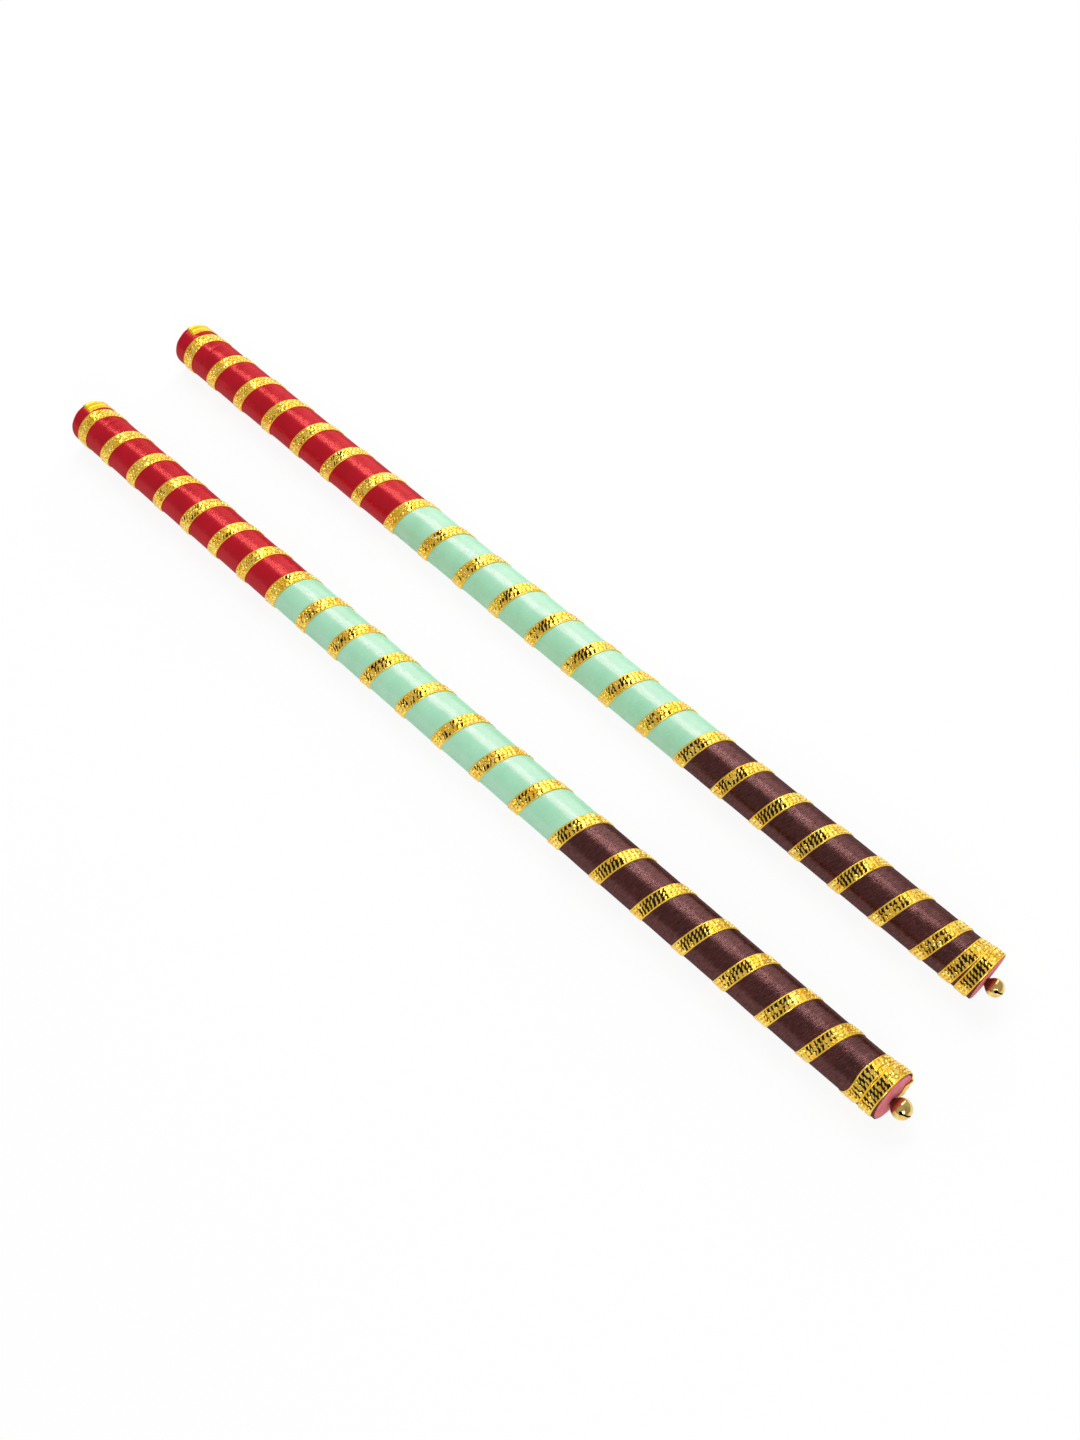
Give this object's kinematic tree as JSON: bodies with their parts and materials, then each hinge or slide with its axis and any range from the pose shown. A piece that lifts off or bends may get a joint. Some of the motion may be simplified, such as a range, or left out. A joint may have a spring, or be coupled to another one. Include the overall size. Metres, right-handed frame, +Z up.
{
  "type": "pair of dandiya sticks",
  "caption": "Wooden dandiya dance sticks wrapped in red, mint and maroon satin ribbon, wound with gold lace and ending in small brass bells.",
  "frame": {"origin": "centre of the pair's box, on the surface that the sticks lie on", "axes": "+X along the sticks towards their bells, +Y from the front stick to the rear one, +Z up"},
  "size_m": [0.3904, 0.0694, 0.0177],
  "materials": {
    "stick_wood": "plain dowel",
    "red_satin": "satin ribbon",
    "mint_satin": "satin ribbon",
    "maroon_satin": "satin ribbon",
    "gold_lace": "woven metallic lace",
    "pink_cloth": "plain cloth",
    "bell_brass": "polished",
    "nail_steel": "plain",
    "pellet_iron": "plain"
  },
  "bodies": {
    "root": {"front_core": "stick_wood", "front_red_ribbon": "red_satin", "front_mint_ribbon": "mint_satin", "front_maroon_ribbon": "maroon_satin", "front_gold_lace": "gold_lace", "front_end_patch": "pink_cloth", "front_bell_shell": "bell_brass", "front_bell_nail": "nail_steel", "front_bell_pellet": "pellet_iron", "rear_core": "stick_wood", "rear_red_ribbon": "red_satin", "rear_mint_ribbon": "mint_satin", "rear_maroon_ribbon": "maroon_satin", "rear_gold_lace": "gold_lace", "rear_end_patch": "pink_cloth", "rear_bell_shell": "bell_brass", "rear_bell_nail": "nail_steel", "rear_bell_pellet": "pellet_iron"}
  },
  "joints": []
}
